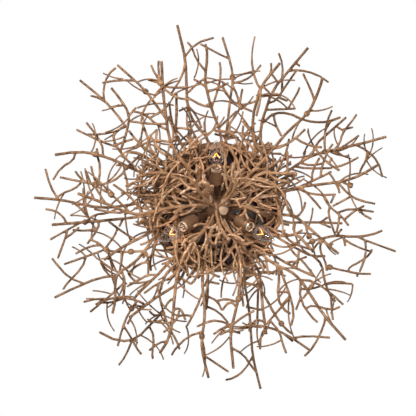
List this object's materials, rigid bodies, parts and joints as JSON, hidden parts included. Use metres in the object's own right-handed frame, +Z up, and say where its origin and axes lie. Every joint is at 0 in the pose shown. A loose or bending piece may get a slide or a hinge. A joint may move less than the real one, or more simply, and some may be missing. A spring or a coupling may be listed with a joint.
{
  "type": "flush mount ceiling light",
  "caption": "Round bronze canopy with a mirror face, a ball hub, a nest of brazed metal twigs and leaning candle sockets with clear torpedo bulbs.",
  "frame": {"origin": "centre of the ceiling face of the canopy", "axes": "+Z up at the ceiling, so the light hangs towards -Z; seen from below with one lamp at the top, +X is to the right and +Y is down"},
  "size_m": [0.7752, 0.776, 0.2493],
  "materials": {
    "bronze": "antique bronze, satin",
    "bronze_twig": "antique gold-bronze, brushed on bark relief",
    "smoked_mirror": "polished, smoked",
    "zinc_steel": "zinc plated",
    "green_steel": "green ground screw",
    "socket_black": "phenolic, matte",
    "brass": "plain",
    "contact_lead": "solder",
    "clear_glass": "clear",
    "filament_wire": "hot filament"
  },
  "bodies": {
    "fixture": {"ceiling_strap": "zinc_steel", "strap_screws": "zinc_steel", "ground_screw": "green_steel", "canopy_studs": "zinc_steel", "canopy_pan": "bronze", "mirror_plate": "smoked_mirror", "centre_nipple": "zinc_steel", "pipe_nuts": "zinc_steel", "hub_collar": "bronze", "hub_upper": "bronze", "hub_lower": "bronze", "socket_arms": "bronze", "socket_cup_1": "bronze", "socket_cup_2": "bronze", "socket_cup_3": "bronze", "lamp_sockets": "socket_black", "branch_01": "bronze_twig", "branch_02": "bronze_twig", "branch_03": "bronze_twig", "branch_04": "bronze_twig", "branch_05": "bronze_twig", "branch_06": "bronze_twig", "branch_07": "bronze_twig", "branch_08": "bronze_twig", "branch_09": "bronze_twig", "branch_10": "bronze_twig", "branch_11": "bronze_twig", "branch_12": "bronze_twig", "branch_13": "bronze_twig", "branch_14": "bronze_twig", "branch_15": "bronze_twig", "branch_16": "bronze_twig", "branch_17": "bronze_twig", "branch_18": "bronze_twig", "branch_19": "bronze_twig", "branch_20": "bronze_twig", "branch_21": "bronze_twig", "branch_22": "bronze_twig", "branch_23": "bronze_twig", "branch_24": "bronze_twig", "branch_25": "bronze_twig", "branch_26": "bronze_twig", "branch_27": "bronze_twig", "branch_front": "bronze_twig"},
    "bulb_slide_1": {"bulb_tip_1": "contact_lead"},
    "bulb_1": {"bulb_shell_1": "brass", "bulb_glass_1": "clear_glass", "filament_1": "filament_wire"},
    "bulb_slide_2": {"bulb_tip_2": "contact_lead"},
    "bulb_2": {"bulb_shell_2": "brass", "bulb_glass_2": "clear_glass", "filament_2": "filament_wire"},
    "bulb_slide_3": {"bulb_tip_3": "contact_lead"},
    "bulb_3": {"bulb_shell_3": "brass", "bulb_glass_3": "clear_glass", "filament_3": "filament_wire"},
    "washer_slide_1": {"ball_washer_1": "bronze"},
    "canopy_nut_1": {"ball_nut_1": "bronze"},
    "washer_slide_2": {"ball_washer_2": "bronze"},
    "canopy_nut_2": {"ball_nut_2": "bronze"}
  },
  "joints": [
    {"name": "bulb_travel_1", "type": "slide", "parent": "fixture", "child": "bulb_slide_1", "axis": [0.623, 0.3597, -0.6947], "range_m": [0, 0.00762]},
    {"name": "bulb_turn_1", "type": "hinge", "parent": "bulb_slide_1", "child": "bulb_1", "pos_m": [0.07102, 0.041, -0.15319], "axis": [0.623, 0.3597, -0.6947], "range_deg": [0, 1080]},
    {"name": "bulb_travel_2", "type": "slide", "parent": "fixture", "child": "bulb_slide_2", "axis": [-0.623, 0.3597, -0.6947], "range_m": [0, 0.00762]},
    {"name": "bulb_turn_2", "type": "hinge", "parent": "bulb_slide_2", "child": "bulb_2", "pos_m": [-0.07102, 0.041, -0.15319], "axis": [-0.623, 0.3597, -0.6947], "range_deg": [0, 1080]},
    {"name": "bulb_travel_3", "type": "slide", "parent": "fixture", "child": "bulb_slide_3", "axis": [0, -0.7193, -0.6947], "range_m": [0, 0.00762]},
    {"name": "bulb_turn_3", "type": "hinge", "parent": "bulb_slide_3", "child": "bulb_3", "pos_m": [0, -0.082, -0.15319], "axis": [0, -0.7193, -0.6947], "range_deg": [0, 1080]},
    {"name": "nut_travel_1", "type": "slide", "parent": "fixture", "child": "washer_slide_1", "axis": [0, 0, -1], "range_m": [0, 0.00397]},
    {"name": "nut_turn_1", "type": "hinge", "parent": "washer_slide_1", "child": "canopy_nut_1", "pos_m": [0.03778, -0.09259, -0.024], "axis": [0, 0, -1], "range_deg": [0, 1800]},
    {"name": "nut_travel_2", "type": "slide", "parent": "fixture", "child": "washer_slide_2", "axis": [0, 0, -1], "range_m": [0, 0.00397]},
    {"name": "nut_turn_2", "type": "hinge", "parent": "washer_slide_2", "child": "canopy_nut_2", "pos_m": [-0.03778, 0.09259, -0.024], "axis": [0, 0, -1], "range_deg": [0, 1800]}
  ],
  "couplings": [
    {"joint": "bulb_travel_1", "follows": "bulb_turn_1", "m_per_rad": 0.00040425},
    {"joint": "bulb_travel_2", "follows": "bulb_turn_2", "m_per_rad": 0.00040425},
    {"joint": "bulb_travel_3", "follows": "bulb_turn_3", "m_per_rad": 0.00040425},
    {"joint": "nut_travel_1", "follows": "nut_turn_1", "m_per_rad": 0.00012637},
    {"joint": "nut_travel_2", "follows": "nut_turn_2", "m_per_rad": 0.00012637}
  ]
}
